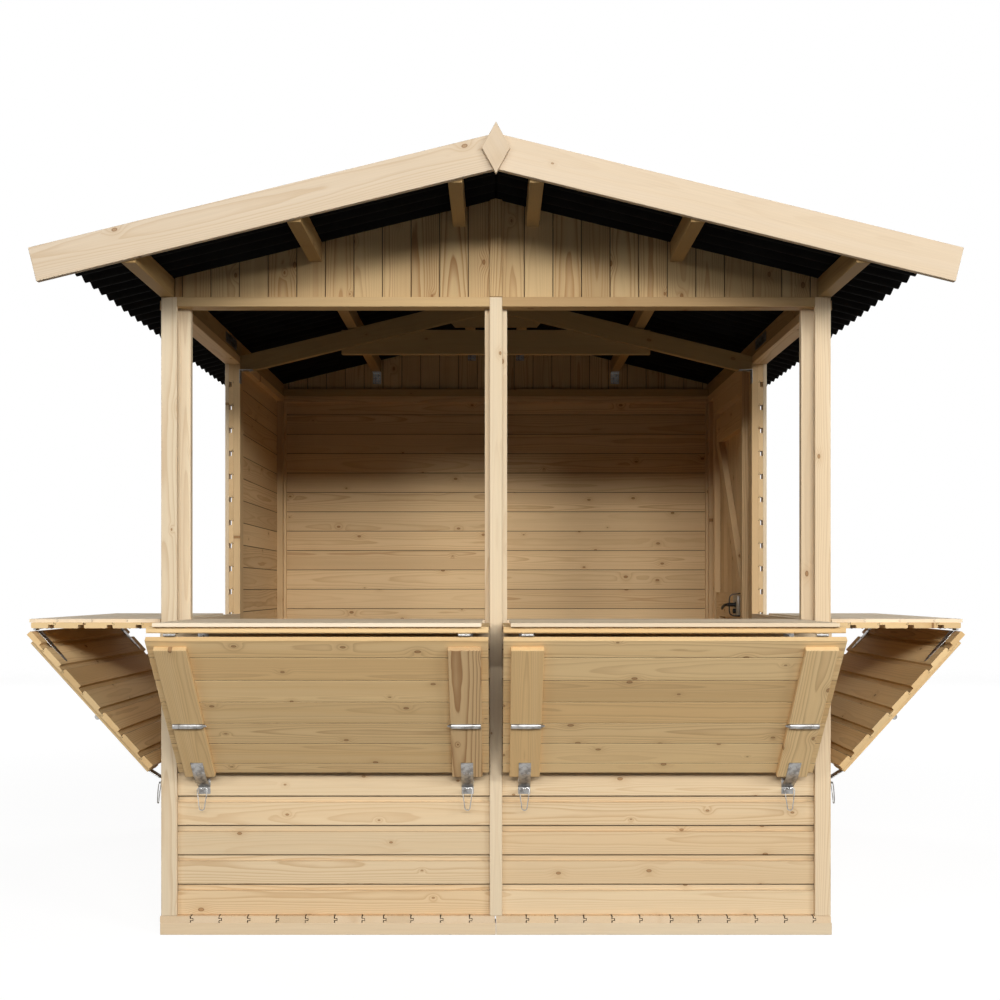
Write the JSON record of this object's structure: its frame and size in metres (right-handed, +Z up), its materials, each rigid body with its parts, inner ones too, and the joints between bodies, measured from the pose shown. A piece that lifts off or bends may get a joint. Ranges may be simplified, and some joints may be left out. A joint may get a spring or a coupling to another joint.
{
  "type": "wooden market stall",
  "caption": "Timber market stall with serving openings on three sides, folding counters on props, a boarded side door and a gabled corrugated roof.",
  "frame": {"origin": "on the ground, below the middle of the overall box", "axes": "+Z up, the serving front faces -Y, +X along the front towards the door side"},
  "size_m": [3.1616, 2.856, 2.5367],
  "materials": {
    "board_pine": "satin",
    "frame_pine": "satin",
    "hatch_pine": "satin",
    "floor_pine": "satin",
    "bitumen_sheet": "matte",
    "zinc_steel": "satin",
    "dark_steel": "satin"
  },
  "bodies": {
    "stall": {"back_head_rail": "frame_pine", "back_wall": "board_pine", "bargeboards": "frame_pine", "batten_barrels": "zinc_steel", "collar_tie": "frame_pine", "corner_trims": "frame_pine", "door_frame": "frame_pine", "door_hinge_pins": "zinc_steel", "finials": "frame_pine", "floor_bearers": "floor_pine", "floor_deck": "floor_pine", "front_counters": "hatch_pine", "front_head_rails": "frame_pine", "front_props": "hatch_pine", "front_walls": "board_pine", "gable_plates": "frame_pine", "gables": "board_pine", "hatch_hinges": "zinc_steel", "inner_shelf": "frame_pine", "latch_plates": "zinc_steel", "left_rear_wall": "board_pine", "left_roof_sheet": "bitumen_sheet", "middle_battens": "frame_pine", "prop_battens": "frame_pine", "purlins": "frame_pine", "ridge_cap": "bitumen_sheet", "right_rear_wall": "board_pine", "right_roof_sheet": "bitumen_sheet", "side_counters": "hatch_pine", "side_head_rails": "frame_pine", "side_low_walls": "board_pine", "side_props": "hatch_pine", "side_trims": "frame_pine", "sill_plates": "frame_pine", "sill_trims": "frame_pine", "spring_clips": "zinc_steel", "truss_rafters": "frame_pine", "wall_over_door": "board_pine", "wall_posts": "frame_pine"},
    "door": {"door_leaf": "board_pine", "door_ledges": "frame_pine", "door_straps": "zinc_steel", "door_lock": "dark_steel"}
  },
  "joints": [
    {"name": "side_door_hinge", "type": "hinge", "parent": "stall", "child": "door", "pos_m": [1.126, 1.0175, 0], "axis": [0, 0, 1], "range_deg": [0, 165]}
  ]
}
